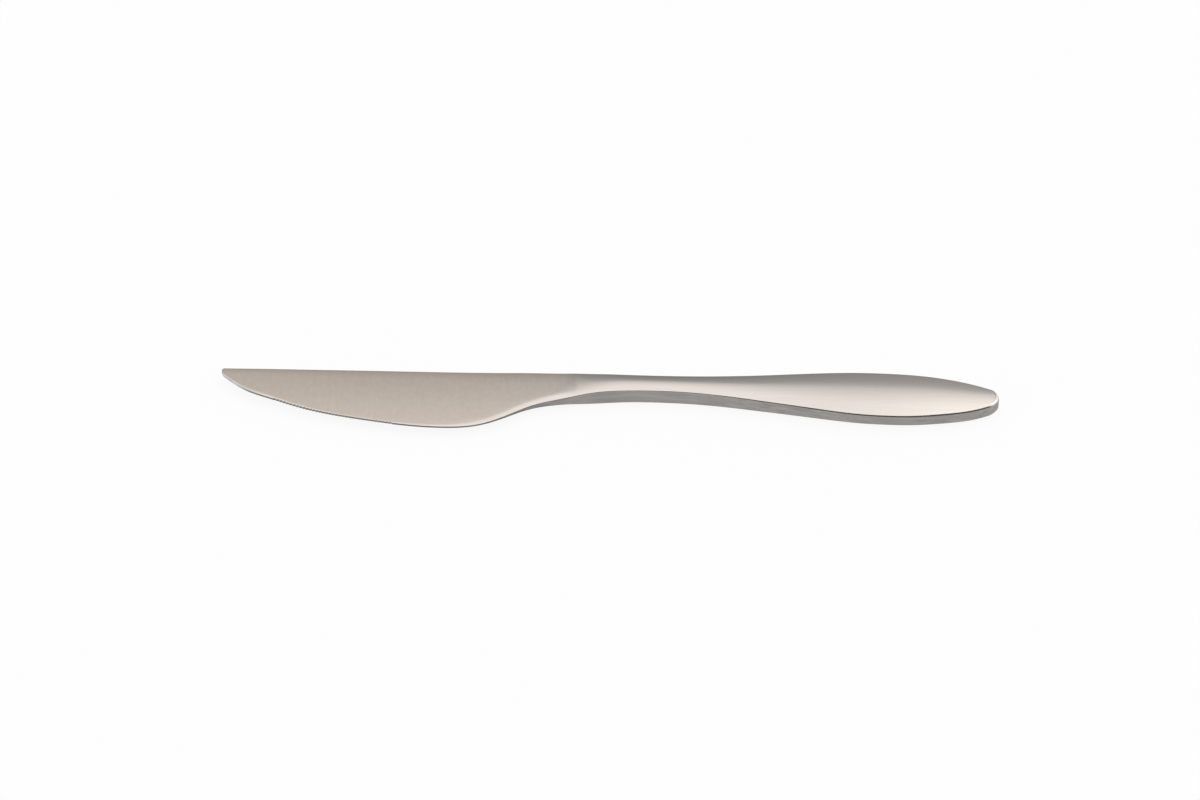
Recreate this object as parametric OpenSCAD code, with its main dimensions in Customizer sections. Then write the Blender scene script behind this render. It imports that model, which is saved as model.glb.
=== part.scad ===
// Table knife, lying on its side. A ground blade carries a round spigot that
// plugs into a blind bore in the solid handle. A weld fills the groove around
// the spigot and is ground flush with the neck.
//
// X runs from the tip to the end of the handle, +Y is the side of the spine and
// -Y the side of the cutting edge. The origin is below the middle of the knife,
// on the surface that it lies on. Both faces of the knife are alike, mirrored
// about its middle plane.

/* [Blade] */
// Length from the tip to where the ground flats run out at the neck
blade_len = 108; // [100:1:120]
// Width at the deepest point of the cutting edge
blade_w = 21; // [18:0.5:24]
// Distance from the tip to the deepest point of the cutting edge
belly_x = 68; // [58:1:74]
// How far the spine at the tip stands out past the back of the neck
tip_rise = 4.5; // [3:0.1:6]
// Thickness of the spine at the tip
tip_t = 1.7; // [1.4:0.1:2.1]
// Thickness of the spine above the deepest point
spine_t = 2.3; // [2:0.1:2.8]
// Thickness between the flats just above the deepest point
behind_edge_t = 0.8; // [0.75:0.05:1.2]
// Thickness of the cutting edge
edge_t = 0.6; // [0.4:0.05:0.7]
// Radius of the wheel that grinds the flats, seen where they run out
grind_r = 250; // [200:10:450]
// Length of the rounding at the tip
nose_r = 0.8; // [0.6:0.1:1.6]

/* [Teeth] */
// Distance from the tip to the first gap in the edge
teeth_start = 16; // [10:1:20]
// Length of the toothed stretch
teeth_len = 36; // [20:1:44]
// Distance from one tooth to the next
tooth_pitch = 1; // [0.8:0.1:2]
// Depth of the gaps between the teeth
tooth_depth = 0.25; // [0.1:0.05:0.4]

/* [Neck] */
// Distance from the run-out of the flats to the narrowest point
neck_run = 23; // [16:1:30]
// Width at the narrowest point
neck_w = 6.3; // [5:0.1:8]
// Height of the side wall at the narrowest point, on the side of the edge
neck_wall = 5.5; // [4.6:0.1:6.2]
// Height of the other side wall of the neck
neck_back_wall = 5.1; // [4.4:0.1:6]
// Rise of each face from the side walls to the middle of the neck
neck_crown = 0.6; // [0.4:0.05:0.9]

/* [Handle] */
// Length from the run-out of the flats to the end
handle_len = 127; // [110:1:140]
// Width at the widest point
handle_w = 17; // [13:0.5:20]
// Height of the side walls at the widest point
handle_wall = 4.15; // [3.5:0.05:5]
// Rise of each face from the side walls to the middle at the widest point
handle_crown = 1.1; // [0.6:0.05:1.5]
// How far the middle is set over towards the side of the edge, near the end
end_drop = 5.3; // [3:0.1:7]
// Width that the sides run towards at the end, before it is rounded
end_w = 4.9; // [4:0.1:8]
// Height of the side wall at the end
end_wall = 4.5; // [3.8:0.05:5]
// Rise of each face that is left towards the end
end_crown = 0.15; // [0.1:0.05:0.5]
// Length of the rounding at the end, on the side of the edge
end_r = 3; // [2:0.1:5]
// Length of the rounding at the end, on the other side
end_back_r = 1.8; // [1:0.1:4]
// Flat that breaks the edges between the side walls and the faces
edge_break = 0.3; // [0.1:0.05:0.5]

/* [Joint] */
// Distance from the run-out of the flats to the weld
weld_run = 15; // [13:1:18]
// Width of the weld along the knife
weld_w = 1.2; // [0.8:0.1:2]
// Diameter of the spigot
spigot_d = 3; // [2:0.1:3.4]
// Length of the spigot inside the handle
spigot_len = 14; // [8:1:24]
// Gap all round between the spigot and the bore
spigot_clearance = 0.05; // [0.02:0.01:0.1]
// Room left past the end of the spigot
bore_room = 1; // [0.5:0.1:2]

/* [Hidden] */
blade_colour = [0.74, 0.70, 0.65];
handle_colour = [0.80, 0.78, 0.75];
weld_colour = [0.78, 0.76, 0.73];

total_len = blade_len + handle_len;
neck_x = blade_len + neck_run;
weld_x = blade_len + weld_run;
weld_end_x = weld_x + weld_w;
overrun = weld_w;

// Each row of the outline has its place along the stretch, its width and its
// back, the side of the spine. From the tip to the deepest point the width is a
// share of blade_w. Past it 0 is neck_w and 1 is blade_w. The back is a share of
// tip_rise. Along the handle 0 is neck_w or end_w and 1 is handle_w, and the last
// value is how much of end_drop the middle has reached.
front_shares = [
    [0, 0.095, 1], [0.09, 0.338, 0.965], [0.2, 0.505, 0.93], [0.35, 0.685, 0.865], [0.62, 0.884, 0.75],
    [0.85, 0.982, 0.645]
];
heel_shares = [
    [0, 1, 0.578], [0.165, 0.912, 0.53], [0.26, 0.754, 0.52], [0.4, 0.45, 0.47], [0.55, 0.242, 0.32],
    [0.74, 0.075, 0.16], [1, 0, 0]
];
handle_shares = [
    [0.14, 0.096, 0.125], [0.31, 0.409, 0.339], [0.48, 0.784, 0.545], [0.58, 0.957, 0.68],
    [0.67, 1, 0.78], [0.75, 0.957, 0.855], [0.83, 0.799, 0.92], [0.93, 0.433, 1.02], [1, 0, 1.019]
];
// Place between the deepest point and the neck, and height of the side wall
// there: 0 is edge_t and 1 is neck_wall
wall_shares = [
    [0, 0], [0.2, 0.01], [0.34, 0.1], [0.47, 0.28], [0.57, 0.48], [0.66, 0.79], [0.73, 0.97],
    [0.82, 1], [1, 1]
];
// How blunt the tip and the end start out, as a share of the rounded width
blunt_share = 0.2;
// Where points lie across a crowned face, from the edge to the back
across_shares = [0.1, 0.22, 0.36, 0.5, 0.64, 0.78, 0.9];
// How many steps stand for the wheel's arc at the run-out, for the rounding at
// the tip, for the stretches before and after the teeth, and for the handle with
// its rounded end
run_out_steps = 24;
nose_steps = 6;
front_steps = 7;
heel_steps = 42;
grip_steps = 52;
end_steps = 8;
// How many sides stand for a circle
round_sides = 48;
// Most of a wall, and of a width, that the broken edge may take
break_wall_share = 0.08;
break_width_share = 0.08;

function mix(a, b, t) = a + (b - a) * t;
function limit(value, low, high) = max(low, min(high, value));
function ease(t) = let (s = limit(t, 0, 1)) s * s * (3 - 2 * s);

// A smooth curve through points, each [x, y]: the slope at every point is
// solved so that the bend carries on through it
function step_x(p, i) = p[i + 1][0] - p[i][0];
function step_slope(p, i) = (p[i + 1][1] - p[i][1]) / step_x(p, i);
function slope_row(p, i) =
    i == 0 ? [0, 2, 1, 3 * step_slope(p, 0)]
    : i == len(p) - 1 ? [1, 2, 0, 3 * step_slope(p, i - 1)]
    : let (h0 = step_x(p, i - 1), h1 = step_x(p, i))
        [h1, 2 * (h0 + h1), h0, 3 * (h1 * step_slope(p, i - 1) + h0 * step_slope(p, i))];
function slope_sweep(p, i = 0, done = []) =
    i == len(p) ? done
    : let (
        row = slope_row(p, i),
        last = i == 0 ? [0, 0] : done[i - 1],
        scale = row[1] - row[0] * last[0]
    ) slope_sweep(p, i + 1, concat(done, [[row[2] / scale, (row[3] - row[0] * last[1]) / scale]]));
function slope_solve(sweep, i, found = []) =
    i < 0 ? found
    : slope_solve(sweep, i - 1,
        concat([len(found) == 0 ? sweep[i][1] : sweep[i][1] - sweep[i][0] * found[0]], found));
function curve(p) =
    let (slopes = slope_solve(slope_sweep(p), len(p) - 1))
    [for (i = [0:len(p) - 1]) [p[i][0], p[i][1], slopes[i]]];
function curve_at(c, x) =
    let (
        i = max([for (k = [0:len(c) - 2]) if (k == 0 || x >= c[k][0]) k]),
        h = c[i + 1][0] - c[i][0],
        t = (x - c[i][0]) / h,
        s = 1 - t
    )
    (1 + 2 * t) * s * s * c[i][1] + t * s * s * h * c[i][2]
    + t * t * (3 - 2 * t) * c[i + 1][1] - t * t * s * h * c[i + 1][2];

// Outline rows in real sizes: place, side of the edge, side of the back
function row(x, width, back) = [x, back - width, back];
outline = concat(
    [for (s = front_shares) row(s[0] * belly_x, s[1] * blade_w, neck_w / 2 + s[2] * tip_rise)],
    [for (s = heel_shares)
        row(mix(belly_x, neck_x, s[0]), mix(neck_w, blade_w, s[1]), neck_w / 2 + s[2] * tip_rise)],
    [for (s = handle_shares)
        let (
            x = mix(neck_x, total_len, s[0]),
            width = mix(mix(neck_w, end_w, s[0]), handle_w, s[1])
        ) row(x, width, width / 2 - s[2] * end_drop)]
);
edge_curve = curve([for (r = outline) [r[0], r[1]]]);
back_curve = curve([for (r = outline) [r[0], r[2]]]);
wall_curve = curve([for (s = wall_shares) [mix(belly_x, neck_x, s[0]), mix(edge_t, neck_wall, s[1])]]);

// Share of its width that the knife has at a distance from a rounded end
function rounding(distance, r) =
    let (t = 1 - limit(distance / r, 0, 1)) sqrt(1 - (1 - blunt_share * blunt_share) * t * t);
function ends(x, at_end) = min(rounding(x, nose_r), rounding(total_len - x, at_end));
function middle(x) =
    let (end = x < neck_x ? 0 : total_len) (curve_at(edge_curve, end) + curve_at(back_curve, end)) / 2;
function edge_y(x) = mix(middle(x), curve_at(edge_curve, x), ends(x, end_r));
function back_y(x) = mix(middle(x), curve_at(back_curve, x), ends(x, end_back_r));

// A value that runs from the neck to the widest point of the handle and on to
// the end
wide_x = mix(neck_x, total_len, handle_shares[4][0]);
function to_wide(x, at_neck, at_wide, at_end) =
    x < wide_x ? mix(at_neck, at_wide, ease((x - neck_x) / (wide_x - neck_x)))
    : mix(at_wide, at_end, ease((x - wide_x) / (total_len - wide_x)));

// Height of the side walls, and rise of the crowned faces between them
function edge_wall(x) =
    x <= belly_x ? edge_t
    : x < neck_x ? limit(curve_at(wall_curve, x), edge_t, neck_wall)
    : to_wide(x, neck_wall, handle_wall, end_wall);
function back_wall(x) = to_wide(x, neck_back_wall, handle_wall, end_wall);
function crown(x) =
    x < neck_x ? neck_crown
    : let (
        least = x < wide_x ? neck_crown : end_crown,
        narrow = x < wide_x ? neck_w : end_w,
        share = limit((back_y(x) - edge_y(x) - narrow) / (handle_w - narrow), 0, 1)
    ) mix(least, handle_crown, share) * ends(x, end_r);

// Height above the middle plane of the plane that the upper flat is ground to,
// and where the wheel that grinds it leaves that plane, to come out of the steel
// over the back of the neck
flat_dy = (spine_t - behind_edge_t) / 2 / blade_w;
flat_dx = ((spine_t - tip_t) / 2 - flat_dy * (back_y(belly_x) - back_y(nose_r))) / (belly_x - nose_r);
function flat_z(x, y) = spine_t / 2 + flat_dx * (x - belly_x) + flat_dy * (y - back_y(belly_x));
run_out_rise = neck_back_wall / 2 - flat_z(blade_len, back_y(blade_len));
run_out_x = blade_len - sqrt(2 * grind_r * run_out_rise);
function wheel_rise(x) = grind_r - sqrt(grind_r * grind_r - pow(max(0, x - run_out_x), 2));

// Gaps between the teeth, cut in from the edge
teeth = floor(teeth_len / tooth_pitch);
teeth_end = teeth_start + teeth * tooth_pitch;
tooth_stations = [
    for (i = [0:2 * teeth - 1]) [teeth_start + i * tooth_pitch / 2, (i % 2) * tooth_depth]
];

// Points of the section at x, from the edge over the upper face to the back and
// home along the lower face. A gap between two teeth sets the edge back.
function section(x, gap) =
    let (
        y0 = edge_y(x),
        width = back_y(x) - y0,
        z_edge = edge_wall(x) / 2,
        z_back = back_wall(x) / 2,
        face = function (u) mix(z_edge, z_back, u) + 4 * crown(x) * u * (1 - u),
        edge_cut = min(edge_break, break_wall_share * 2 * z_edge, break_width_share * width),
        back_cut = min(edge_break, break_width_share * width),
        start = gap / width,
        first = start + edge_cut / width,
        last = 1 - back_cut / width,
        upper = concat(
            [[y0 + start * width, face(first) - edge_cut]],
            [for (u = concat([first], across_shares, [last])) [y0 + u * width, face(u)]],
            [[y0 + width, face(last) - back_cut]]
        )
    )
    concat(upper, [for (i = [len(upper) - 1:-1:0]) [upper[i][0], -upper[i][1]]]);

// Stations along the knife, each [x, gap], without the last of their stretch
function spread(from, to, count) = [for (i = [0:count - 1]) [mix(from, to, i / count), 0]];
function open_up(from, to, count) =
    [for (i = [0:count - 1]) [mix(from, to, 1 - cos(90 * i / count)), 0]];
function close_up(from, to, count) = [for (i = [0:count - 1]) [mix(from, to, sin(90 * i / count)), 0]];
blade_stations = concat(
    open_up(0, nose_r, nose_steps), spread(nose_r, teeth_start, front_steps), tooth_stations,
    spread(teeth_end, weld_x, heel_steps), [[weld_x, 0]]
);
handle_stations = concat(
    spread(weld_end_x, total_len - end_r, grip_steps), close_up(total_len - end_r, total_len, end_steps),
    [[total_len, 0]]
);

// The knife lies on the highest point of its lower face, and the middle of its
// outline is over the origin
all_stations = concat(blade_stations, handle_stations);
middle_y = (max([for (s = all_stations) back_y(s[0])]) + min([for (s = all_stations) edge_y(s[0])])) / 2;
half_t = max([for (s = all_stations) for (p = section(s[0], s[1])) p[1]]);
module in_place() {
    translate([-total_len / 2, -middle_y, half_t]) children();
}

// A closed solid through the sections at the stations
module body(stations) {
    rings = [for (s = stations) [for (p = section(s[0], s[1])) [s[0], p[0], p[1]]]];
    sides = len(rings[0]);
    end = (len(rings) - 1) * sides;
    walls = [
        for (a = [0:sides:end - 1], k = [0:sides - 1])
            let (p = a + k, q = a + (k + 1) % sides)
            each [[p, q, q + sides], [p, q + sides, p + sides]]
    ];
    caps = [[for (k = [sides - 1:-1:0]) k], [for (k = [0:sides - 1]) end + k]];
    polyhedron([for (r = rings) each r], concat(walls, caps));
}

// A round rod along the knife, on the middle of the neck at the weld
weld_y = (edge_y(weld_x) + back_y(weld_x)) / 2;
module rod(from, to, d) {
    translate([from, weld_y, 0]) rotate([0, 90, 0]) cylinder(h = to - from, d = d, $fn = round_sides);
}

// What the wheel takes off each face to leave the flats
flat_tilt = atan(flat_dy);
module ground_away() {
    end_x = weld_end_x;
    low = [
        for (x = concat([-overrun], [for (i = [0:run_out_steps]) mix(run_out_x, end_x, i / run_out_steps)]))
            [x, (flat_dx * (x - belly_x) + wheel_rise(x)) * cos(flat_tilt)]
    ];
    profile = concat(low, [[end_x, total_len], [-overrun, total_len]]);
    for (side = [0, 1])
        mirror([0, 0, side])
            translate([0, back_y(belly_x), spine_t / 2])
                rotate([flat_tilt + 90, 0, 0])
                    linear_extrude(height = total_len, center = true) polygon(profile);
}

// Blade with its neck and the spigot that plugs into the handle
module blade() {
    color(blade_colour) in_place() {
        difference() {
            body(blade_stations);
            ground_away();
        }
        rod(weld_x - overrun, weld_end_x + spigot_len, spigot_d);
    }
}

// Solid handle with the blind bore for the spigot
module handle() {
    color(handle_colour) in_place() difference() {
        body(handle_stations);
        rod(weld_end_x - overrun, weld_end_x + spigot_len + bore_room, spigot_d + 2 * spigot_clearance);
    }
}

// Weld metal that fills the groove around the spigot, ground flush
module weld_seam() {
    color(weld_colour) in_place() difference() {
        body([[weld_x, 0], [weld_end_x, 0]]);
        rod(weld_x - overrun, weld_end_x + overrun, spigot_d);
    }
}

blade();
handle();
weld_seam();
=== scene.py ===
"""Table knife of ground and buffed steel, lying on its side on a pale floor.

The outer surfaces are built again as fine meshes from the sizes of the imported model, with rounded
edges, a soft border round the ground flats and real teeth, and each gets its own steel finish.
Lengths are in millimetres until a mesh is made. X runs from the tip to the end of the handle.
"""

import math

import bpy
import numpy as np
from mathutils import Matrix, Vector


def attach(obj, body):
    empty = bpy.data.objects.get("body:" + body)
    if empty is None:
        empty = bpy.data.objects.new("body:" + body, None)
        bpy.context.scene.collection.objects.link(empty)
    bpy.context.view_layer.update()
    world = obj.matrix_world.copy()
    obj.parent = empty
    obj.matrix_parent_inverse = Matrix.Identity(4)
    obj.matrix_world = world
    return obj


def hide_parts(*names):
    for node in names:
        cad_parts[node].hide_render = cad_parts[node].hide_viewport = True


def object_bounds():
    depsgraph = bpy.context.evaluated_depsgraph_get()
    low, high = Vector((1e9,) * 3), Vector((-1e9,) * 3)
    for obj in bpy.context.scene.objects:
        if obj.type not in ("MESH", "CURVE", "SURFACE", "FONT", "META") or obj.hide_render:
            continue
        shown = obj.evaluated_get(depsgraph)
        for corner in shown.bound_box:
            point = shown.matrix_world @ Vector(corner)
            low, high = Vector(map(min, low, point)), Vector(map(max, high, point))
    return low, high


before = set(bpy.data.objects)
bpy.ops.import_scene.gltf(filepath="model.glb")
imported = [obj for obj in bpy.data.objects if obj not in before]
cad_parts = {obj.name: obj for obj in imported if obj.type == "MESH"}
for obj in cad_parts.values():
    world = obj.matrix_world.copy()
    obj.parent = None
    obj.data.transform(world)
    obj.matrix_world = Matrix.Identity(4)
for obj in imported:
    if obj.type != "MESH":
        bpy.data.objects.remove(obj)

cad_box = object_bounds()
MM = 0.001  # metres in a millimetre

# Driving sizes of the construction
BLADE_LEN = 108
BLADE_W = 21
BELLY_X = 68
TIP_RISE = 4.5
TIP_T = 1.7
SPINE_T = 2.3
BEHIND_EDGE_T = 0.8
EDGE_T = 0.6
GRIND_R = 250
NOSE_R = 0.8
TEETH_START = 16
TEETH_LEN = 36
TOOTH_PITCH = 1
TOOTH_DEPTH = 0.25
NECK_RUN = 23
NECK_W = 6.3
NECK_WALL = 5.5
NECK_BACK_WALL = 5.1
NECK_CROWN = 0.6
HANDLE_LEN = 127
HANDLE_W = 17
HANDLE_WALL = 4.15
HANDLE_CROWN = 1.1
END_DROP = 5.3
END_W = 4.9
END_WALL = 4.5
END_CROWN = 0.15
END_R = 3
END_BACK_R = 1.8
WELD_RUN = 15
WELD_W = 1.2
SPIGOT_D = 3
SPIGOT_LEN = 14
SPIGOT_CLEARANCE = 0.05
BORE_ROOM = 1

TOTAL_LEN = BLADE_LEN + HANDLE_LEN
NECK_X = BLADE_LEN + NECK_RUN
WELD_X = BLADE_LEN + WELD_RUN
WELD_END_X = WELD_X + WELD_W
TEETH = math.floor(TEETH_LEN / TOOTH_PITCH)
TEETH_END = TEETH_START + TEETH * TOOTH_PITCH

# Outline and wall rows, as shares of the sizes above, in the same form as in the construction
FRONT_SHARES = [
    (0, 0.095, 1), (0.09, 0.338, 0.965), (0.2, 0.505, 0.93), (0.35, 0.685, 0.865), (0.62, 0.884, 0.75),
    (0.85, 0.982, 0.645),
]
HEEL_SHARES = [
    (0, 1, 0.578), (0.165, 0.912, 0.53), (0.26, 0.754, 0.52), (0.4, 0.45, 0.47), (0.55, 0.242, 0.32),
    (0.74, 0.075, 0.16), (1, 0, 0),
]
HANDLE_SHARES = [
    (0.14, 0.096, 0.125), (0.31, 0.409, 0.339), (0.48, 0.784, 0.545), (0.58, 0.957, 0.68),
    (0.67, 1, 0.78), (0.75, 0.957, 0.855), (0.83, 0.799, 0.92), (0.93, 0.433, 1.02), (1, 0, 1.019),
]
WALL_SHARES = [
    (0, 0), (0.2, 0.01), (0.34, 0.1), (0.47, 0.28), (0.57, 0.48), (0.66, 0.79), (0.73, 0.97), (0.82, 1),
    (1, 1),
]
BLUNT_SHARE = 0.2

# Fine shape, which the construction leaves plain
EDGE_ROUND = 0.18       # rounding along the cutting edge
SPINE_ROUND = 0.12      # rounding along the spine of the blade
NECK_ROUND = 0.12       # rounding along the edges of the neck
GRIP_ROUND = 0.45       # the same at the widest point of the handle, on the side of the edge
HIP_ROUND = 0.60        # the same just before the end
GRIP_BACK_ROUND = 0.14  # and along the other side of the handle
END_ROUND = 1.2         # the same where the outline has turned round the end
END_ROUND_SHARE = 0.75  # how deep that rounding is for its width
NOSE_ROUND = 0.18       # and where it has turned round the tip
ROUND_WALL_SHARE = 0.9  # most of half a wall's height that a rounding takes
CLOSE_LEN = 0.15        # length over which the blunt ends close
SLOPE_REACH = 0.002     # how far to both sides of a place the slope of the outline is taken
SWELL_R = 220           # radius of the slight swell across the ground flats
ROLL_SLOPE = 0.11       # how steeply the flats roll off at the spine
ROLL_RUN = 3            # width of that roll-off over the blade
HEEL_ROLL_RUN = 6       # the same at the run-out
GRIND_SKEW = 10         # degrees that the wheel lies askew where the flats run out
NECK_TWIST = 0.11       # how much the flats lean back past the run-out
TWIST_ZONE = (103, 112)     # stretch over which they start to
CREASE_BLEND = 0.02     # depth of the soft border of the flats along the cutting edge
HEEL_BLEND = 0.3        # the same at the heel
HEEL_RUN = 24           # length past the deepest point over which these change
RUN_OUT_BLEND = 1.3     # depth of the soft border where the flats run out
RUN_OUT_ZONE = (102, 114)   # stretch over which it grows to that
FINISH_BLEND = 0.1      # least depth of the border between the ground and the buffed finish
FINISH_SHARE = 0.5      # that depth as a share of the shape's own soft border
FINISH_LINE = BLADE_LEN - 0.5   # where the ground finish ends across the neck
FINISH_LINE_W = 1.2     # width of that border
FADED_SHARE = 0.6       # how much of the ground finish shows through just past that line
FADE_RUN = 8            # length over which it fades out


def mix(a, b, t):
    """The value at a share t of the way from a to b."""
    return a + (b - a) * t


def ease(t):
    """A share that starts and stops softly."""
    s = np.clip(t, 0, 1)
    return s * s * (3 - 2 * s)


class Curve:
    """A smooth curve through points. Its slopes are solved so that the bend carries on through each."""

    def __init__(self, points):
        self.x, self.y = np.array(points, float).T
        count = len(self.x)
        step = np.diff(self.x)
        rise = np.diff(self.y) / step
        rows = np.zeros((count, count))
        right = np.zeros(count)
        rows[0, :2] = 2, 1
        right[0] = 3 * rise[0]
        rows[-1, -2:] = 1, 2
        right[-1] = 3 * rise[-1]
        for i in range(1, count - 1):
            rows[i, i - 1:i + 2] = step[i], 2 * (step[i - 1] + step[i]), step[i - 1]
            right[i] = 3 * (step[i] * rise[i - 1] + step[i - 1] * rise[i])
        self.slopes = np.linalg.solve(rows, right)

    def __call__(self, x):
        i = np.clip(np.searchsorted(self.x, x, side="right") - 1, 0, len(self.x) - 2)
        h = self.x[i + 1] - self.x[i]
        t = (x - self.x[i]) / h
        s = 1 - t
        low = (1 + 2 * t) * s * s * self.y[i] + t * s * s * h * self.slopes[i]
        return low + t * t * (3 - 2 * t) * self.y[i + 1] - t * t * s * h * self.slopes[i + 1]


def outline_rows():
    """Rows of place, edge side and back side, in real sizes."""
    rows = [(s * BELLY_X, width * BLADE_W, NECK_W / 2 + back * TIP_RISE) for s, width, back in FRONT_SHARES]
    for s, width, back in HEEL_SHARES:
        rows.append((mix(BELLY_X, NECK_X, s), mix(NECK_W, BLADE_W, width), NECK_W / 2 + back * TIP_RISE))
    for s, width, drop in HANDLE_SHARES:
        real = mix(mix(NECK_W, END_W, s), HANDLE_W, width)
        rows.append((mix(NECK_X, TOTAL_LEN, s), real, real / 2 - drop * END_DROP))
    return [(x, back - width, back) for x, width, back in rows]


OUTLINE = outline_rows()
EDGE_CURVE = Curve([(x, edge) for x, edge, back in OUTLINE])
BACK_CURVE = Curve([(x, back) for x, edge, back in OUTLINE])
WALL_CURVE = Curve([(mix(BELLY_X, NECK_X, s), mix(EDGE_T, NECK_WALL, t)) for s, t in WALL_SHARES])


def rounding(distance, radius):
    """Share of its width that the knife has at a distance from a rounded end."""
    t = 1 - np.clip(distance / radius, 0, 1)
    return np.sqrt(1 - (1 - BLUNT_SHARE ** 2) * t * t)


def ends(x, at_end):
    """Share of its width that the knife has near either rounded end."""
    return np.minimum(rounding(x, NOSE_R), rounding(TOTAL_LEN - x, at_end))


def closing(x):
    """Closes the blunt ends with a small round."""
    t = 1 - np.clip(np.minimum(x, TOTAL_LEN - x) / CLOSE_LEN, 0, 1)
    return np.sqrt(1 - t * t)


def side_y(curve, x, at_end):
    """Side of the outline that the curve gives, drawn in at the two ends."""
    end = np.where(x < NECK_X, 0.0, TOTAL_LEN)
    middle = (EDGE_CURVE(end) + BACK_CURVE(end)) / 2
    return mix(middle, curve(x), ends(x, at_end) * closing(x))


def edge_y(x):
    return side_y(EDGE_CURVE, x, END_R)


def back_y(x):
    return side_y(BACK_CURVE, x, END_BACK_R)


def slope_of(side, x):
    """Slope of a side of the outline, from two points close by."""
    low = np.clip(x - SLOPE_REACH, 0, TOTAL_LEN)
    high = np.clip(x + SLOPE_REACH, 0, TOTAL_LEN)
    return (side(high) - side(low)) / (high - low)


WIDE_X = next(mix(NECK_X, TOTAL_LEN, s) for s, width, drop in HANDLE_SHARES if width == 1)


def to_wide(x, at_neck, at_wide, at_end):
    """A value that runs from the neck to the widest point of the handle, and on to the end."""
    before = mix(at_neck, at_wide, ease((x - NECK_X) / (WIDE_X - NECK_X)))
    after = mix(at_wide, at_end, ease((x - WIDE_X) / (TOTAL_LEN - WIDE_X)))
    return np.where(x < WIDE_X, before, after)


def edge_wall(x):
    """Height of the side wall along the cutting edge and on along the handle."""
    heel = np.clip(WALL_CURVE(np.clip(x, BELLY_X, NECK_X)), EDGE_T, NECK_WALL)
    grip = to_wide(x, NECK_WALL, HANDLE_WALL, END_WALL)
    return np.where(x <= BELLY_X, EDGE_T, np.where(x < NECK_X, heel, grip))


def back_wall(x):
    """Height of the side wall along the spine's side of the neck and handle."""
    return to_wide(x, NECK_BACK_WALL, HANDLE_WALL, END_WALL)


def crown(x):
    """How far the middle of a face stands above its sides."""
    least = np.where(x < WIDE_X, NECK_CROWN, END_CROWN)
    narrow = np.where(x < WIDE_X, NECK_W, END_W)
    share = np.clip((back_y(x) - edge_y(x) - narrow) / (HANDLE_W - narrow), 0, 1)
    return np.where(x < NECK_X, NECK_CROWN, mix(least, HANDLE_CROWN, share) * ends(x, END_R))


def at(side, x):
    """Where a side of the outline is at one place."""
    return float(side(np.array(float(x))))


BELLY_BACK = at(back_y, BELLY_X)
NOSE_BACK = at(back_y, NOSE_R)
FLAT_DY = (SPINE_T - BEHIND_EDGE_T) / 2 / BLADE_W
FLAT_DX = ((SPINE_T - TIP_T) / 2 - FLAT_DY * (BELLY_BACK - NOSE_BACK)) / (BELLY_X - NOSE_R)


def flat_z(x, y):
    """Height above the middle plane of the plane that the upper flat is ground to."""
    return SPINE_T / 2 + FLAT_DX * (x - BELLY_X) + FLAT_DY * (y - BELLY_BACK)


RUN_OUT_BACK = at(back_y, BLADE_LEN)
RUN_OUT_RISE = NECK_BACK_WALL / 2 - float(flat_z(BLADE_LEN, RUN_OUT_BACK))
RUN_OUT_REACH = math.sqrt(2 * GRIND_R * RUN_OUT_RISE)
SKEW = math.radians(GRIND_SKEW)


def wheel_rise(x, y):
    """How far the wheel has left the plane of the flat, to come out of the steel over the neck."""
    reach = RUN_OUT_REACH + (x - BLADE_LEN) * math.cos(SKEW) - (y - RUN_OUT_BACK) * math.sin(SKEW)
    return np.maximum(0, reach) ** 2 / (2 * GRIND_R)


def flat_height(x, share):
    """Height of the ground flat at shares across, with a slight swell from side to side."""
    x = x[:, None]
    width = back_y(x) - edge_y(x)
    y = edge_y(x) + width * share
    swell = width ** 2 / (2 * SWELL_R) * share * (1 - share)
    return flat_z(x, y) + wheel_rise(x, y) + swell


def blank_height(x, share):
    """Height of the crowned face of the blank at shares across."""
    x = x[:, None]
    return mix(edge_wall(x), back_wall(x), share) / 2 + 4 * crown(x) * share * (1 - share)


def crossings(x):
    """Shares across at which the flat starts and ends, or the nearest to a touch where they have parted."""
    shares = np.linspace(0, 1, CROSS_SAMPLES)
    gap = flat_height(x, shares[None, :]) - blank_height(x, shares[None, :])
    found = []
    for row in gap:
        inside = np.flatnonzero(row < 0)
        first, last = (inside[0], inside[-1]) if len(inside) else (np.argmin(row), np.argmin(row))
        ends_at = []
        for here, beyond in ((first, first - 1), (last, last + 1)):
            if row[here] < 0 and 0 <= beyond < CROSS_SAMPLES:
                ends_at.append(mix(shares[here], shares[beyond], row[here] / (row[here] - row[beyond])))
            else:
                ends_at.append(shares[here])
        found.append(ends_at)
    return np.array(found).T


def heel_share(x):
    """Share of the change from the blade's belly to the heel."""
    return ease((x - BELLY_X) / HEEL_RUN)


def roll_off(x, to_spine):
    """How far the flat rolls off at a distance from the spine."""
    run = mix(ROLL_RUN, HEEL_ROLL_RUN, heel_share(x))[:, None]
    return ROLL_SLOPE * run / 3 * np.clip(1 - to_spine / run, 0, 1) ** 3


def neck_lean(x, to_spine):
    """How far the flat stands higher at a distance from the spine, past the run-out."""
    start, stop = TWIST_ZONE
    return NECK_TWIST * ease((x - start) / (stop - start))[:, None] * to_spine


def blend_depth(x):
    """Depth of the soft border between the flat and the crowned face."""
    start, stop = RUN_OUT_ZONE
    heel = mix(CREASE_BLEND, HEEL_BLEND, heel_share(x))
    return mix(heel, RUN_OUT_BLEND, ease((x - start) / (stop - start)))


def soft_min(a, b, depth):
    """The lower of two heights, with a soft border of that depth where they cross."""
    near = np.maximum(0, 1 - np.abs(a - b) / depth)
    return np.minimum(a, b) - near * near * depth / 4


def rim(distance, radius):
    """How far a rounded edge lowers a face at a distance from its side wall."""
    d = np.clip(distance, 0, radius)
    return radius - np.sqrt(d * (2 * radius - d))


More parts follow.
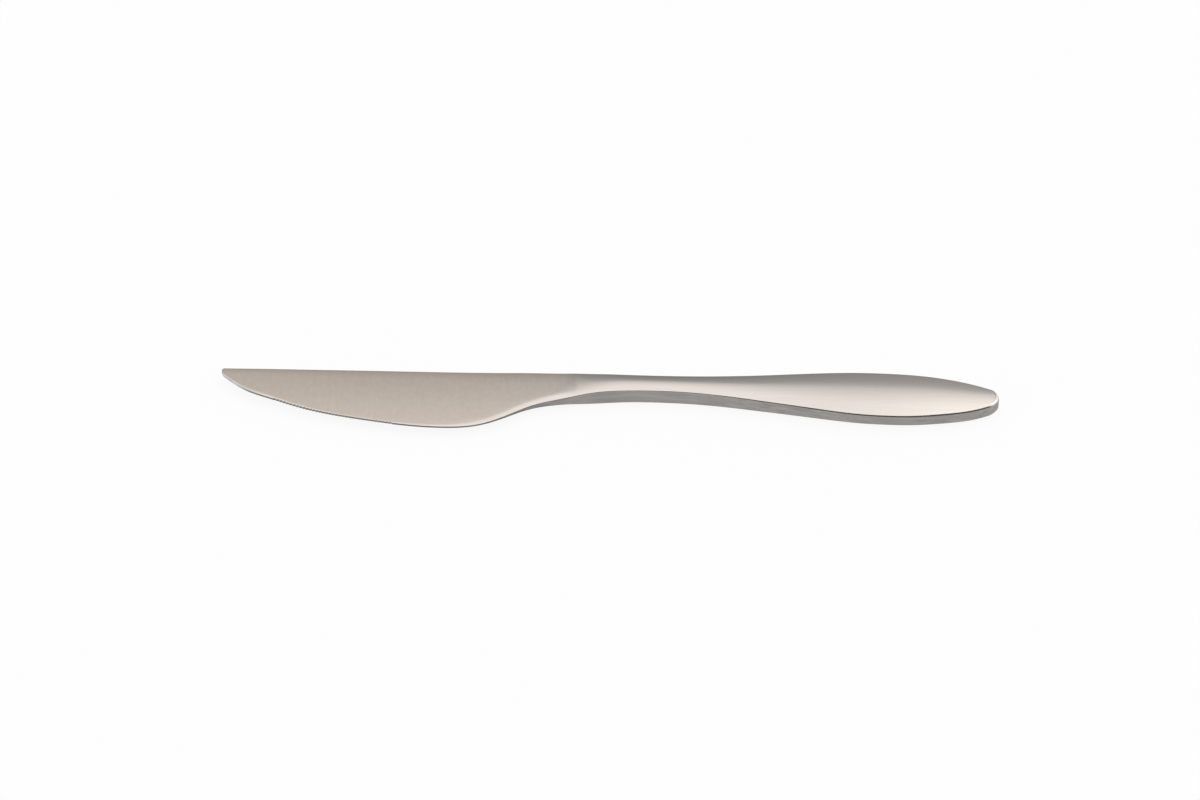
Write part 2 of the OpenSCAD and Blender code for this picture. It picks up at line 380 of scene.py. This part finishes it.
def tooth_gap(x):
    """How far a gap between two teeth sets the edge back at x."""
    along = (x - TEETH_START) / TOOTH_PITCH
    return np.where((along > 0) & (along < TEETH), TOOTH_DEPTH * np.abs(np.sin(np.pi * along)), 0)


def edge_round(x):
    """Radius of the rounding along the cutting edge's side."""
    radius = mix(EDGE_ROUND, to_wide(x, NECK_ROUND, GRIP_ROUND, HIP_ROUND), heel_share(x))
    return np.minimum(radius, ROUND_WALL_SHARE * edge_wall(x) / 2)


def back_round(x):
    """Radius of the rounding along the spine's side."""
    return mix(SPINE_ROUND, to_wide(x, NECK_ROUND, GRIP_BACK_ROUND, GRIP_BACK_ROUND), heel_share(x))


# Rows across a face: the counts of steps on each stretch, from the edge to the back
ROUND_STEPS = 6
BAND_STEPS = 5
CREASE_STEPS = 8
FLAT_STEPS = 12
FAR_STEPS = 4
WALL_STEPS = 6
ROUND_WIDTH_SHARE = 0.3     # most of the width that the rows of a rounding take
STEEPEST = 3                # slope of the outline past which those rows stay as wide
CREASE_SLOPE = 0.25         # slope between flat and crowned face, for the width of their soft border
LEAST_SHARE = 0.02          # least share of the width between two stretches of rows
CROSS_SAMPLES = 200
ROW_EVEN_RUN = 3            # length over which the rows along the flats' border are evened out
END_ZONE = 10               # length at either end where the edge rounding follows the round outline
END_SAMPLES = 240
END_CROWDING = 3            # power that crowds those samples towards the very end
FIRST_X = 0.0005            # nearest that a section comes to either end


def evened(values, x):
    """The mean of the values over a stretch on both sides of each station."""
    near = np.maximum(0, 1 - np.abs(x[:, None] - x[None, :]) / ROW_EVEN_RUN)
    return near @ values / near.sum(axis=1)


def slant(side, x):
    """How much wider than square to it a rounding lies across the knife."""
    return np.sqrt(1 + np.minimum(np.abs(slope_of(side, x)), STEEPEST) ** 2)


def place_rows(x, ground):
    """Offsets from the edge side at the stations x, one column for each row across the face."""
    gap = tooth_gap(x)
    width = back_y(x) - edge_y(x)
    near = gap + np.minimum(edge_round(x) * slant(edge_y, x), ROUND_WIDTH_SHARE * width)
    far = width - np.minimum(back_round(x) * slant(back_y, x), ROUND_WIDTH_SHARE * width)
    if ground:
        least = LEAST_SHARE * width     # each row keeps that from the next, up to the far rounding
        touch = np.minimum(blend_depth(x) / CREASE_SLOPE, ROUND_WIDTH_SHARE * width)
        first, last = (evened(share, x) * width for share in crossings(x))
        low = np.clip(first - touch, near + least, far - 4 * least)
        high = np.clip(first + touch, low + least, far - 3 * least)
        last = np.clip(last, high + least, far - least)
        knots = [gap, near, low, high, last, far, width]
        counts = [ROUND_STEPS, BAND_STEPS, CREASE_STEPS, FLAT_STEPS, FAR_STEPS, ROUND_STEPS]
    else:
        knots = [gap, near, far, width]
        counts = [ROUND_STEPS, BAND_STEPS + CREASE_STEPS + FLAT_STEPS + FAR_STEPS, ROUND_STEPS]
    rows = []
    for k, count in enumerate(counts):
        t = np.arange(count) / count
        if k == 0:
            t = 1 - np.cos(t * np.pi / 2)
        if k == len(counts) - 1:
            t = np.sin(t * np.pi / 2)
        rows += [mix(knots[k], knots[k + 1], share) for share in t]
    return np.stack(rows + [width], axis=1)


def end_tangents():
    """Tangents of the outline near its ends: point, outward normal, width and depth of the rounding."""
    turn = np.linspace(0, 1, END_SAMPLES) ** END_CROWDING
    points, normals, radii, depths = [], [], [], []
    for run, turned_round, deep in (
        (END_ZONE * turn, NOSE_ROUND, 1), (TOTAL_LEN - END_ZONE * turn, END_ROUND, END_ROUND_SHARE),
    ):
        x = np.clip(run, FIRST_X, TOTAL_LEN - FIRST_X)
        for side, sign, radius in ((edge_y, -1, edge_round), (back_y, 1, back_round)):
            slope = slope_of(side, x)
            length = np.sqrt(1 + slope ** 2)
            points.append(np.stack([x, side(x)], axis=1))
            normals.append(np.stack([-sign * slope / length, sign / length], axis=1))
            turned = (slope / length) ** 2
            radii.append(mix(radius(x), turned_round, turned))
            depths.append(radii[-1] * mix(1, deep, turned))
    return [np.concatenate(values) for values in (points, normals, radii, depths)]


END_POINTS, END_NORMALS, END_WIDTHS, END_DEPTHS = end_tangents()


def rim_drop(x, y):
    """How far the rounded edges lower the face at each grid point."""
    edge_distance = y - (edge_y(x) + tooth_gap(x))[:, None]
    back_distance = back_y(x)[:, None] - y
    edge_distance /= np.sqrt(1 + slope_of(edge_y, x) ** 2)[:, None]
    back_distance /= np.sqrt(1 + slope_of(back_y, x) ** 2)[:, None]
    drop = np.maximum(rim(edge_distance, edge_round(x)[:, None]), rim(back_distance, back_round(x)[:, None]))
    for i in np.flatnonzero((x < END_ZONE / 2) | (x > TOTAL_LEN - END_ZONE / 2)):
        here = np.abs(END_POINTS[:, 0] - x[i]) < END_ZONE
        spots = np.stack([np.full(y.shape[1], x[i]), y[i]], axis=1)
        offset = END_POINTS[here][None, :, :] - spots[:, None, :]
        distance = np.einsum("pkc,kc->pk", offset, END_NORMALS[here])
        widths, depths = END_WIDTHS[here][None, :], END_DEPTHS[here][None, :]
        drop[i] = np.max(rim(distance, widths) * depths / widths, axis=1)
    return drop


def skin(x, ground):
    """Grid of points of the upper face, with the share of ground finish at each."""
    start = edge_y(x)[:, None]
    width = back_y(x)[:, None] - start
    y = start + place_rows(x, ground)
    height = blank_height(x, (y - start) / width)
    finish = np.zeros_like(height)
    if ground:
        flat = flat_height(x, (y - start) / width) - roll_off(x, start + width - y)
        depth = np.maximum(FINISH_BLEND, FINISH_SHARE * blend_depth(x))[:, None]
        finish = ease((height - flat) / depth / 2 + 0.5)
        faded = FADED_SHARE * (1 - ease((x - FINISH_LINE) / FADE_RUN))
        finish *= mix(faded, 1, ease((FINISH_LINE - x) / FINISH_LINE_W + 0.5))[:, None]
        flat += neck_lean(x, start + width - y)
        height = soft_min(height, flat, blend_depth(x)[:, None])
    return y, height - rim_drop(x, y), finish


def rings(x, ground):
    """Closed sections at the stations x: upper face, back wall, lower face and edge wall."""
    y, z, finish = skin(x, ground)
    steps = np.arange(1, WALL_STEPS)[None, :] / WALL_STEPS
    back = mix(z[:, -1:], -z[:, -1:], steps)
    edge = mix(-z[:, :1], z[:, :1], steps)
    flat = np.zeros_like(back)
    ring_x = np.repeat(x[:, None], 2 * (y.shape[1] + WALL_STEPS - 1), 1)
    ring_y = np.concatenate([y, flat + y[:, -1:], y[:, ::-1], flat + y[:, :1]], 1)
    ring_z = np.concatenate([z, back, -z[:, ::-1], edge], 1)
    ring_finish = np.concatenate([finish, flat, finish[:, ::-1], flat], 1)
    return np.stack([ring_x, ring_y, ring_z], axis=2), ring_finish


WELD_Y = (at(edge_y, WELD_X) + at(back_y, WELD_X)) / 2


def circle(ring, x, diameter):
    """A round section of the spigot or its bore, with a point for each point of a ring."""
    angle = np.arctan2(ring[:, 2], ring[:, 1] - WELD_Y)
    y = WELD_Y + np.cos(angle) * diameter / 2
    return np.stack([np.full(len(ring), x), y, np.sin(angle) * diameter / 2], axis=1)


def along(stretches):
    """Stations from stretches of start, stop, number of steps and spacing."""
    stations = []
    for start, stop, count, spacing in stretches:
        t = np.arange(count) / count
        if spacing == "open":
            t = 1 - np.cos(t * np.pi / 2)
        if spacing == "close":
            t = np.sin(t * np.pi / 2)
        stations.append(mix(start, stop, t))
    stations.append(np.array([float(stretches[-1][1])]))
    return np.concatenate(stations)


# The knife lies on the highest point of its lower face, with the middle of its outline over the origin
OUTLINE_SAMPLES = 4000
SAMPLES = np.linspace(0, TOTAL_LEN, OUTLINE_SAMPLES)
MIDDLE_Y = (back_y(SAMPLES).max() + edge_y(SAMPLES).min()) / 2
HALF_T = cad_box[1].z / MM / 2
INSET_SHARE = 0.998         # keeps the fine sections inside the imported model's box
SHARP_DEG = 60


def loft(name, loops, finish, wrapped=False):
    """A closed mesh through the loops, with the last joined to the first or both ends closed."""
    count, size = finish.shape
    ring = np.arange(size)
    following = (ring + 1) % size
    faces = []
    for i in range(count if wrapped else count - 1):
        a, b = i * size, (i + 1) % count * size
        faces += np.stack([a + ring, b + ring, b + following, a + following], axis=1).tolist()
    if not wrapped:
        faces += [ring[::-1].tolist(), (ring + (count - 1) * size).tolist()]
    mesh = bpy.data.meshes.new(name)
    centred = (loops.reshape(-1, 3) - np.array([TOTAL_LEN / 2, MIDDLE_Y, 0])) * (1, INSET_SHARE, INSET_SHARE)
    mesh.from_pydata(((centred + (0, 0, HALF_T)) * MM).tolist(), [], faces)
    mesh.shade_smooth()
    mesh.set_sharp_from_angle(angle=math.radians(SHARP_DEG))
    mesh.attributes.new("ground", "FLOAT", "POINT").data.foreach_set("value", finish.reshape(-1))
    mesh.validate()
    return mesh


# Sections along the knife: the counts of steps on each stretch
CLOSE_STEPS = 8
NOSE_STEPS = 10
TIP_STEPS = 30
TOOTH_STEPS = 8
BELLY_STEPS = 20
HEEL_STEPS = 120
WELD_STEPS = 3
GRIP_STEPS = 160
END_STEPS = 30


def blade_mesh():
    """The blade with its half of the neck, and the spigot that plugs into the handle."""
    x = along([
        (FIRST_X, CLOSE_LEN, CLOSE_STEPS, "open"), (CLOSE_LEN, NOSE_R, NOSE_STEPS, "even"),
        (NOSE_R, TEETH_START, TIP_STEPS, "even"), (TEETH_START, TEETH_END, TEETH * TOOTH_STEPS, "even"),
        (TEETH_END, BELLY_X, BELLY_STEPS, "even"), (BELLY_X, WELD_X, HEEL_STEPS, "even"),
    ])
    loops, finish = rings(x, True)
    spigot = [circle(loops[-1], end, SPIGOT_D) for end in (WELD_X, WELD_END_X + SPIGOT_LEN)]
    loops = np.concatenate([loops, spigot])
    return loft("ground_blade", loops, np.pad(finish, ((0, len(spigot)), (0, 0))))


def handle_mesh():
    """The handle with the blind bore for the spigot."""
    x = along([
        (WELD_END_X, TOTAL_LEN - END_R, GRIP_STEPS, "even"),
        (TOTAL_LEN - END_R, TOTAL_LEN - CLOSE_LEN, END_STEPS, "even"),
        (TOTAL_LEN - CLOSE_LEN, TOTAL_LEN - FIRST_X, CLOSE_STEPS, "close"),
    ])
    loops, finish = rings(x, False)
    bore_d = SPIGOT_D + 2 * SPIGOT_CLEARANCE
    bore = [circle(loops[0], end, bore_d) for end in (WELD_END_X + SPIGOT_LEN + BORE_ROOM, WELD_END_X)]
    loops = np.concatenate([bore, loops])
    return loft("solid_handle", loops, np.pad(finish, ((len(bore), 0), (0, 0))))


def weld_mesh():
    """The ring of weld metal round the spigot."""
    loops, finish = rings(along([(WELD_X, WELD_END_X, WELD_STEPS, "even")]), False)
    hole = [circle(loops[0], end, SPIGOT_D) for end in (WELD_END_X, WELD_X)]
    loops = np.concatenate([loops, hole])
    return loft("weld_ring", loops, np.pad(finish, ((0, len(hole)), (0, 0))), wrapped=True)


def tree_of(material):
    """The emptied node tree of a material."""
    material.use_nodes = True
    tree = material.node_tree
    tree.nodes.clear()
    return tree


def add(tree, kind, wires=None, **settings):
    """A node with its settings, and its inputs set or linked by name or number."""
    made = tree.nodes.new(kind)
    for name, value in settings.items():
        setattr(made, name, value)
    for key, value in (wires or {}).items():
        if isinstance(value, bpy.types.NodeSocket):
            tree.links.new(value, made.inputs[key])
        else:
            made.inputs[key].default_value = value
    return made


def maths(tree, operation, *values):
    return add(tree, "ShaderNodeMath", dict(enumerate(values)), operation=operation).outputs[0]


def blend(tree, factor, a, b):
    """A colour between a and b."""
    return add(tree, "ShaderNodeMix", {0: factor, 6: a, 7: b}, data_type="RGBA").outputs[2]


def level_between(tree, factor, a, b):
    """A plain number between a and b."""
    return add(tree, "ShaderNodeMix", {0: factor, 2: a, 3: b}, data_type="FLOAT").outputs[0]


def remap(tree, value, low, high, to_low, to_high, smooth=True):
    """A value moved from one range to another, held at its ends."""
    made = add(
        tree, "ShaderNodeMapRange", {"Value": value, 1: low, 2: high, 3: to_low, 4: to_high},
        interpolation_type="SMOOTHSTEP" if smooth else "LINEAR",
    )
    return made.outputs[0]


def grain(tree, per_mm, detail, roughness):
    """Noise with that many grains in a millimetre along X, Y and Z."""
    place = add(tree, "ShaderNodeTexCoord").outputs["Object"]
    spot = add(tree, "ShaderNodeMapping", {"Vector": place, "Scale": [n / MM for n in per_mm]}).outputs[0]
    made = add(
        tree, "ShaderNodeTexNoise",
        {"Vector": spot, "Scale": 1.0, "Detail": detail, "Roughness": roughness},
        noise_dimensions="3D",
    )
    return made.outputs["Fac"]


def rgba(colour):
    return (*colour, 1.0)


# Colours and finishes of the steel. Ranges are in metres from the middle of the knife.
GROUND_COLOUR = (0.410, 0.368, 0.334)
BUFFED_COLOUR = (0.532, 0.491, 0.456)
# partly painted shade: the brushed walls are coloured darker than the faces, in place of the shadowed floor
# they mirror
SHADED_WALL_COLOUR = (0.336, 0.319, 0.307)
# painted shade: the wall along the cutting edge is coloured darker
EDGE_WALL_SHADE_COLOUR = (0.215, 0.205, 0.198)
EDGE_WALL_SHADE_RANGE = (-0.03, -0.012)  # where the painted shade on the wall of the cutting edge passes into the wall of the neck
HONED_COLOUR = (0.560, 0.550, 0.540)
HONED_RANGE = (-0.1135, -0.1085)    # where the honed edge of the tip passes into the brushed wall
GROUND_ROUGHNESS = 0.34
BUFFED_ROUGHNESS = 0.22
WALL_ROUGHNESS = 0.40
WARM = (1.03, 1.0, 0.970)       # tint of the flats towards the tip
COOL = (0.990, 1.0, 1.02)       # and towards the neck
WARM_RANGE = (-0.045, 0.005)    # where one passes into the other
WALL_RANGE = (0.3, 0.88)        # upward part of the normal where the wall passes into the face
PAINTED_EDGE_LIGHT = (1.10, 0.965)       # painted light and shade of the flats: lighter towards the cutting edge, darker towards the spine
PAINTED_EDGE_LIGHT_RANGE = (-0.011, 0.009)   # where one passes into the other, across the knife
END_PAINTED_LIGHT = (1.2, 1.19, 1.18)    # painted light: the buffed faces are coloured lighter at the end of the handle
END_PAINTED_LIGHT_RANGE = (0.06, 0.12)   # where it comes in

# Grains in a millimetre along X, Y and Z, and how many octaves of noise and how rough
PATCHES = ((0.07, 0.12, 0.12), 2.0, 0.6)
MOTTLES = ((0.7, 0.5, 0.5), 4.0, 0.6)
CROSS_STREAKS = ((3.0, 0.12, 0.12), 4.0, 0.7)
LONG_STREAKS = ((0.04, 1.0, 1.0), 4.0, 0.65)
SATIN = ((2.5, 2.5, 2.5), 4.0, 0.7)
NOISE_RANGE = (0.3, 0.7)        # where nearly all of a noise lies, round its middle
NOISE_MIDDLE = 0.5
PATCH_STRAY = 0.06              # how far patches move the place of the tint, in metres
MOTTLE_LEVELS = (0.965, 1.035)
FACE_CONTRAST = 0.14            # how strongly streaks colour the faces
WALL_CONTRAST = 1.0             # and the walls
SATIN_ROUGHNESS = 0.02          # how much the satin grain varies the roughness
BUMP_STRENGTH = 0.25
BUMP_DEPTH = 0.004              # millimetres


def tinted(colour, tint):
    return rgba(a * b for a, b in zip(colour, tint))


def scaled(tree, colour, level):
    return add(tree, "ShaderNodeVectorMath", {0: colour, "Scale": level}, operation="SCALE").outputs[0]


def ground_look(tree, place):
    """Colour of the ground flats: tinted along the knife, with painted light towards the edge and painted
    shade towards the spine, slightly mottled.
    """
    patches = maths(tree, "SUBTRACT", grain(tree, *PATCHES), NOISE_MIDDLE)
    strayed = maths(tree, "MULTIPLY_ADD", patches, PATCH_STRAY, place["X"])
    share = remap(tree, strayed, *WARM_RANGE, 0.0, 1.0)
    colour = blend(tree, share, tinted(GROUND_COLOUR, WARM), tinted(GROUND_COLOUR, COOL))
    mottle = remap(tree, grain(tree, *MOTTLES), *NOISE_RANGE, *MOTTLE_LEVELS, smooth=False)
    # painted light and shade: the flats are coloured lighter towards the cutting edge and darker towards the
    # spine
    painted_light = remap(tree, place["Y"], *PAINTED_EDGE_LIGHT_RANGE, *PAINTED_EDGE_LIGHT)
    return scaled(tree, colour, maths(tree, "MULTIPLY", mottle, painted_light))


def buffed_look(tree, place):
    """Colour of the crowned faces, with painted light at the end of the handle."""
    # painted light: lighter colour on the buffed faces towards the end of the handle
    share = remap(tree, place["X"], *END_PAINTED_LIGHT_RANGE, 0.0, 1.0)
    return blend(tree, share, rgba(BUFFED_COLOUR), tinted(BUFFED_COLOUR, END_PAINTED_LIGHT))


def wall_look(tree, place):
    """Colour of the side walls: brushed steel coloured darker as painted shade, more painted shade along the
    cutting edge, and bright where the tip is honed.
    """
    # painted shade: darker wall colour along the cutting edge
    edge_shade = remap(tree, place["X"], *EDGE_WALL_SHADE_RANGE, 1.0, 0.0)
    honed = remap(tree, place["X"], *HONED_RANGE, 1.0, 0.0)
    # the brushed wall colour carries painted shade, darker still towards the cutting edge
    brushed = blend(tree, edge_shade, rgba(SHADED_WALL_COLOUR), rgba(EDGE_WALL_SHADE_COLOUR))
    return blend(tree, honed, brushed, rgba(HONED_COLOUR))


def steel(name):
    """Steel whose flats are ground crossways, whose faces are buffed and whose side walls are brushed, with
    painted light and shade in its colours.
    """
    material = bpy.data.materials.new(name)
    tree = tree_of(material)
    place = add(tree, "ShaderNodeSeparateXYZ", {0: add(tree, "ShaderNodeTexCoord").outputs["Object"]}).outputs
    ground = add(tree, "ShaderNodeAttribute", attribute_name="ground").outputs["Fac"]
    normal = add(tree, "ShaderNodeSeparateXYZ", {0: add(tree, "ShaderNodeNewGeometry").outputs["Normal"]})
    wall = remap(tree, maths(tree, "ABSOLUTE", normal.outputs["Z"]), *WALL_RANGE, 1.0, 0.0)

    face_colour = blend(tree, ground, buffed_look(tree, place), ground_look(tree, place))
    colour = blend(tree, wall, face_colour, wall_look(tree, place))
    lengthways = grain(tree, *LONG_STREAKS)
    face_streak = level_between(tree, ground, lengthways, grain(tree, *CROSS_STREAKS))
    streak = level_between(tree, wall, face_streak, lengthways)
    contrast = level_between(tree, wall, FACE_CONTRAST, WALL_CONTRAST)
    level = maths(tree, "MULTIPLY_ADD", maths(tree, "SUBTRACT", streak, NOISE_MIDDLE), contrast, 1.0)

    satin = grain(tree, *SATIN)
    rough_face = level_between(tree, ground, BUFFED_ROUGHNESS, GROUND_ROUGHNESS)
    varied = remap(tree, satin, *NOISE_RANGE, -SATIN_ROUGHNESS, SATIN_ROUGHNESS, smooth=False)
    roughness = maths(tree, "ADD", level_between(tree, wall, rough_face, WALL_ROUGHNESS), varied)
    height = maths(tree, "ADD", streak, satin)
    bump = add(
        tree, "ShaderNodeBump", {"Strength": BUMP_STRENGTH, "Distance": BUMP_DEPTH * MM, "Height": height},
    )
    shader = add(tree, "ShaderNodeBsdfPrincipled", {
        "Base Color": scaled(tree, colour, level), "Metallic": 1.0, "Roughness": roughness,
        "Normal": bump.outputs[0],
    })
    add(tree, "ShaderNodeOutputMaterial", {"Surface": shader.outputs[0]})
    return material


def show(mesh, node, material):
    """Adds a piece with its material, ties it to the body and hides the imported node that it stands for."""
    piece = bpy.data.objects.new(mesh.name, mesh)
    bpy.context.scene.collection.objects.link(piece)
    piece.data.materials.append(material)
    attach(piece, "root")
    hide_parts(node)


blade_steel = steel("ground_steel")
handle_steel = steel("buffed_steel")
show(blade_mesh(), "blade", blade_steel)
show(handle_mesh(), "handle", handle_steel)
show(weld_mesh(), "weld_seam", handle_steel)

FLOOR_HALF = 8              # metres
FLOOR_COLOUR = (0.93, 0.93, 0.93)
WHITE_SHARE = 0.9           # how much of the floor is seen as plain white behind the soft shadow


def make_floor():
    mesh = bpy.data.meshes.new("floor")
    h = FLOOR_HALF
    mesh.from_pydata([(-h, -h, 0), (h, -h, 0), (h, h, 0), (-h, h, 0)], [], [(0, 1, 2, 3)])
    floor = bpy.data.objects.new("floor", mesh)
    bpy.context.scene.collection.objects.link(floor)
    material = bpy.data.materials.new("pale_floor")
    tree = tree_of(material)
    shader = add(
        tree, "ShaderNodeBsdfPrincipled",
        {"Base Color": rgba(FLOOR_COLOUR), "Roughness": 1.0, "Specular IOR Level": 0.0},
    )
    path = add(tree, "ShaderNodeLightPath").outputs
    seen = maths(tree, "MAXIMUM", path["Is Camera Ray"], path["Is Glossy Ray"])
    seen = maths(tree, "MAXIMUM", seen, path["Is Transmission Ray"])
    white = add(tree, "ShaderNodeEmission", {"Color": (1, 1, 1, 1), "Strength": 1.0})
    share = maths(tree, "MULTIPLY", seen, WHITE_SHARE)
    both = add(tree, "ShaderNodeMixShader", {0: share, 1: shader.outputs[0], 2: white.outputs[0]})
    add(tree, "ShaderNodeOutputMaterial", {"Surface": both.outputs[0]})
    mesh.materials.append(material)


# Studio light: a pale room that grows lighter towards a broad soft light overhead, with a soft light
# beside the handle's end and one at the front left. The wall behind the camera is dark. Ranges are of
# the upward, sideways or forward part of a direction.
FLOOR_LINE_LEVEL = 0.286        # of the walls at the floor
CLIMB = 0.396                   # how much they gain up to the ceiling
TOP_LEVEL = 0.55                # of the light overhead
TOP_RANGE = (0.585, 0.755)      # and its soft border
ZENITH_LEVEL = 0.33             # what it gains towards its middle
ZENITH_RANGE = (0.72, 0.96)
SIDE_LEVEL = 1.05               # of the light beside the handle's end
SIDE_RANGE = (0.42, 0.62)
FRONT_LEFT_LEVEL = 0.9          # of the light at the front left
FRONT_LEFT_SIDE = (-0.8, -0.6)  # and its soft borders, to the side and towards the front
FRONT_LEFT_AHEAD = (-0.1, 0.4)
LOW_COLOUR = (0.99, 1.0, 1.02)  # of the light from the walls
HIGH_COLOUR = (1.0, 1.0, 0.995) # and from overhead
COLOUR_RANGE = (0.6, 0.85)      # where one passes into the other
FRONT_SHARE_LEFT = 0.08         # how much of its light the dark wall keeps
FRONT_RANGE = (-0.35, -0.2)     # where it begins in front, to the left and to the right
LEFT_RANGE = (-0.5, -0.3)
RIGHT_RANGE = (0.72, 0.9)


def make_light():
    world = bpy.data.worlds.new("studio")
    bpy.context.scene.world = world
    world.use_nodes = True
    tree = world.node_tree
    tree.nodes.clear()
    way = add(tree, "ShaderNodeSeparateXYZ", {0: add(tree, "ShaderNodeTexCoord").outputs["Generated"]})
    side, ahead, up = way.outputs
    level = maths(tree, "MULTIPLY_ADD", up, CLIMB, FLOOR_LINE_LEVEL)
    for part, span, most in (
        (up, TOP_RANGE, TOP_LEVEL), (up, ZENITH_RANGE, ZENITH_LEVEL), (side, SIDE_RANGE, SIDE_LEVEL),
    ):
        level = maths(tree, "ADD", level, remap(tree, part, *span, 0.0, most))
    to_left = remap(tree, side, *FRONT_LEFT_SIDE, FRONT_LEFT_LEVEL, 0.0)
    to_front = remap(tree, ahead, *FRONT_LEFT_AHEAD, 1.0, 0.0)
    level = maths(tree, "MULTIPLY_ADD", to_left, to_front, level)
    front = remap(tree, ahead, *FRONT_RANGE, FRONT_SHARE_LEFT, 1.0)
    for span, near, far in ((LEFT_RANGE, 1.0, 0.0), (RIGHT_RANGE, 0.0, 1.0)):
        front = maths(tree, "MAXIMUM", front, remap(tree, side, *span, near, far))
    level = maths(tree, "MULTIPLY", level, front)
    colour = blend(tree, remap(tree, up, *COLOUR_RANGE, 0.0, 1.0), rgba(LOW_COLOUR), rgba(HIGH_COLOUR))
    room = add(tree, "ShaderNodeBackground", {"Color": colour, "Strength": level})
    add(tree, "ShaderNodeOutputWorld", {"Surface": room.outputs[0]})


# Camera of a long lens, where the photograph was taken from
CAMERA_LENS = 200           # millimetres
CAMERA_SENSOR = 36
CAMERA_DISTANCE = 2.0133    # metres
CAMERA_HEIGHT_DEG = 50
CAMERA_TARGET = (-0.0029, -0.00055, 0.00323)


def make_camera():
    camera = bpy.data.objects.new("camera", bpy.data.cameras.new("camera"))
    bpy.context.scene.collection.objects.link(camera)
    rise = math.radians(CAMERA_HEIGHT_DEG)
    camera.data.lens = CAMERA_LENS
    camera.data.sensor_width = CAMERA_SENSOR
    target = Vector(CAMERA_TARGET)
    camera.location = target + CAMERA_DISTANCE * Vector((0, -math.cos(rise), math.sin(rise)))
    camera.rotation_euler = (target - camera.location).to_track_quat("-Z", "Y").to_euler()
    bpy.context.scene.camera = camera


make_floor()
make_light()
make_camera()
bpy.context.scene.view_settings.view_transform = "Standard"
